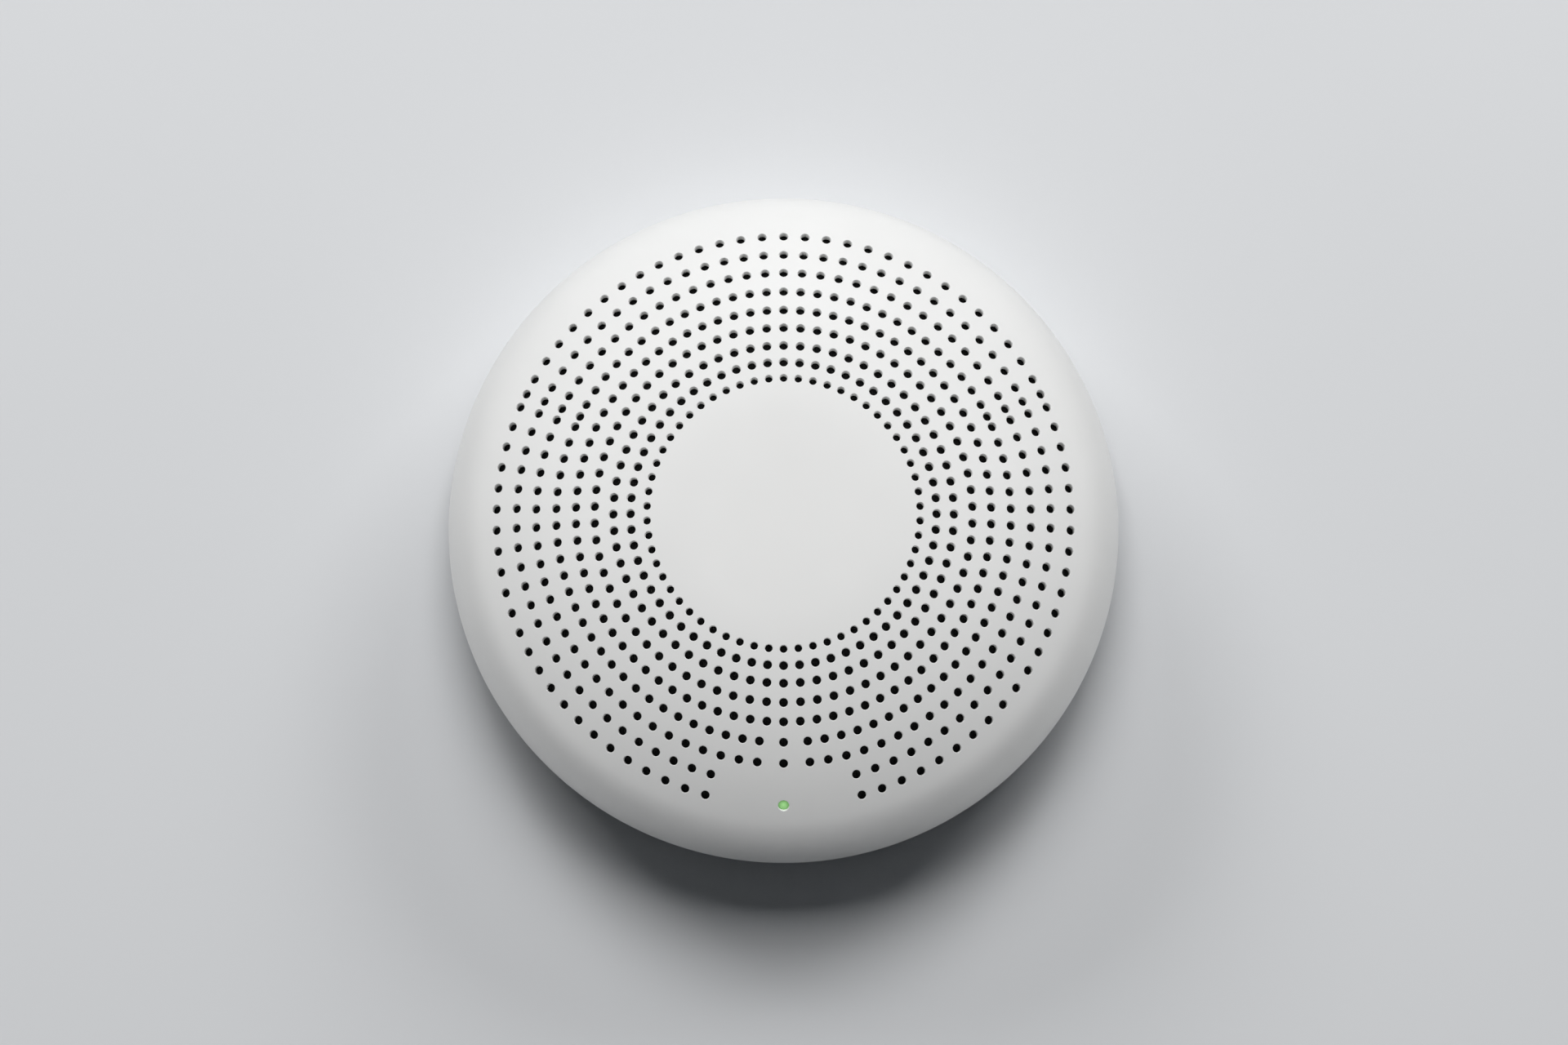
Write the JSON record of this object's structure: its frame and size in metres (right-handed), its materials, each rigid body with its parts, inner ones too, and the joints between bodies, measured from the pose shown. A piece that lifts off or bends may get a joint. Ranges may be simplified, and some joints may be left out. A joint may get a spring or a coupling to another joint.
{
  "type": "smoke and carbon monoxide alarm",
  "caption": "Round white domed alarm for smoke and carbon monoxide, with rings of small air holes round a smooth centre, one small green light and a twist-off mounting plate.",
  "frame": {"origin": "centre of the mounting plate's flat wall face", "axes": "+Z leaves the wall towards the room, along the alarm's axis; +Y points to the top as it hangs, opposite the light; +X to the right"},
  "size_m": [0.14, 0.14, 0.038],
  "materials": {
    "cover": "fine matt moulding",
    "lens": "clear, tinted green by its lamp",
    "mesh": "fine black woven mesh",
    "screen_frame": "matt black moulding",
    "housing": "matt moulding",
    "plate": "matt moulding",
    "board": "green solder resist",
    "screws": "zinc plated",
    "battery": "printed-free sleeve",
    "contacts": "nickel plated",
    "strap": "spring steel",
    "connector": "natural nylon",
    "chamber": "matt black moulding",
    "chamber_mesh": "fine steel mesh",
    "clear_lamp": "clear epoxy",
    "dark_lamp": "dark epoxy",
    "can": "drawn steel can",
    "horn": "matt black moulding",
    "disc": "rolled brass",
    "switch": "black moulding",
    "button": "pale moulding",
    "led": "clear top",
    "chip": "moulded epoxy",
    "sleeve": "plastic sleeve"
  },
  "bodies": {
    "plate": {"mounting_plate": "plate"},
    "alarm": {"front_cover": "cover", "light_guide": "lens", "cover_screen": "mesh", "screen_frame": "screen_frame", "rear_housing": "housing", "circuit_board": "board", "board_screws": "screws", "battery": "battery", "battery_contacts": "contacts", "battery_strap": "strap", "battery_connector": "connector", "chamber_base": "chamber", "chamber_cover": "chamber", "chamber_mesh": "chamber_mesh", "emitter_lamp": "clear_lamp", "photodiode": "dark_lamp", "co_cell": "can", "cell_clip": "strap", "sounder_horn": "horn", "piezo_disc": "disc", "test_switch": "switch", "status_led": "led", "processor": "chip", "radio_module": "can", "capacitor": "sleeve"},
    "button": {"switch_button": "button"}
  },
  "joints": [
    {"name": "mount_twist", "type": "hinge", "parent": "plate", "child": "alarm", "pos_m": [0, 0, 0.004], "axis": [0, 0, 1], "range_deg": [0, 16]},
    {"name": "test_press", "type": "slide", "parent": "alarm", "child": "button", "axis": [0, 0, -1], "range_m": [0, 0.0003], "stiffness_N_per_m": 5000, "springref_m": -0.0002}
  ]
}
